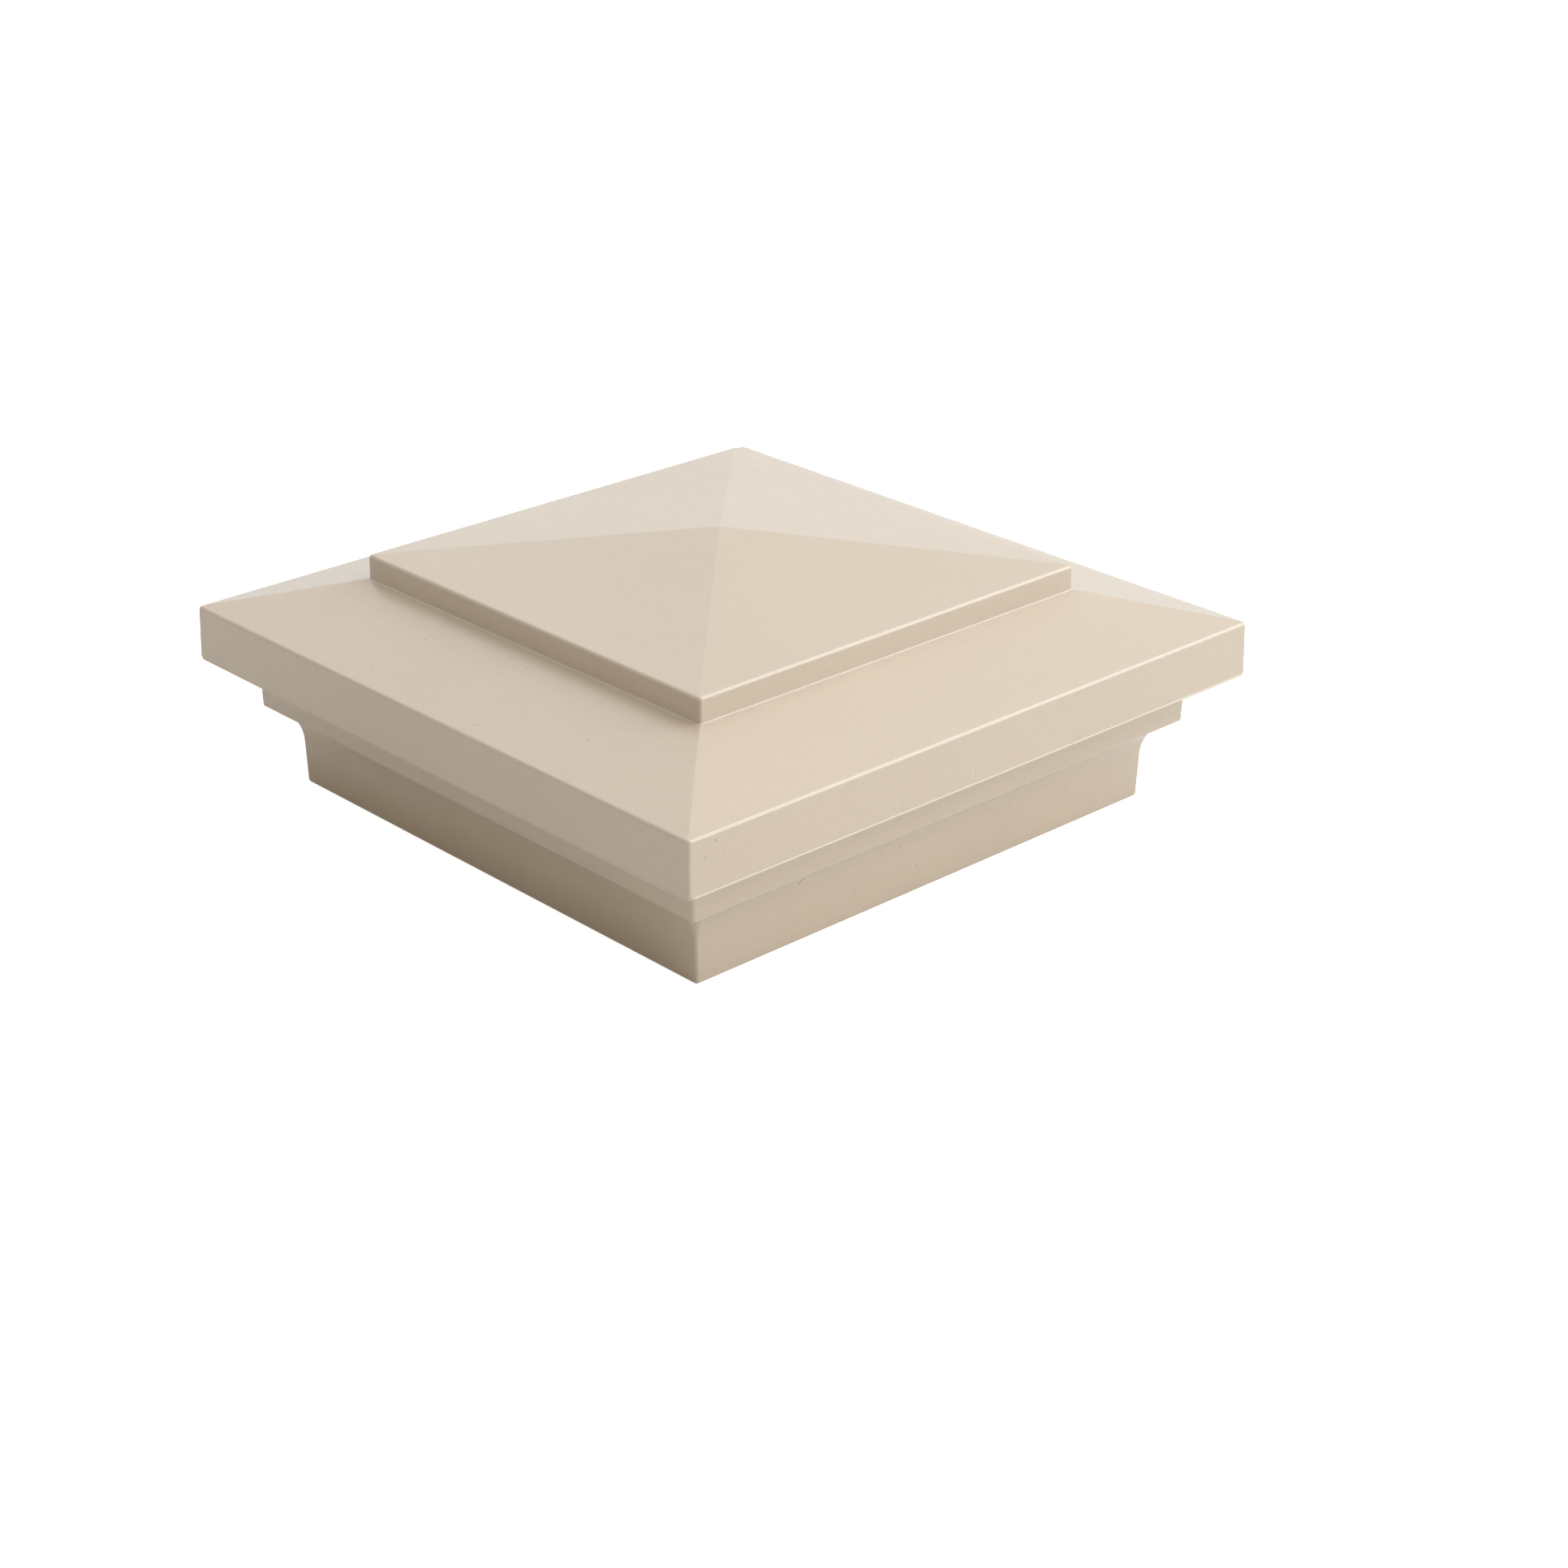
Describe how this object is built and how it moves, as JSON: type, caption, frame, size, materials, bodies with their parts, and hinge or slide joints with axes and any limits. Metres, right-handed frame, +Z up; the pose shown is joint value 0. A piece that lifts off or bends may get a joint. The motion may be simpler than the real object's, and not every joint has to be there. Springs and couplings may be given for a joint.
{
  "type": "vinyl post cap",
  "caption": "Square hollow cap for a vinyl post, with a stepped pyramid roof, an overhanging fascia, a bed moulding and a coved collar that slips over the post.",
  "frame": {"origin": "centre of the collar's rim, on the plane of the rim", "axes": "+Z up along the post, towards the apex; X and Y square to the cap's sides"},
  "size_m": [0.1658, 0.1658, 0.0633],
  "materials": {
    "vinyl": "beige moulded vinyl, satin"
  },
  "bodies": {
    "root": {"post_cap": "vinyl"}
  },
  "joints": []
}
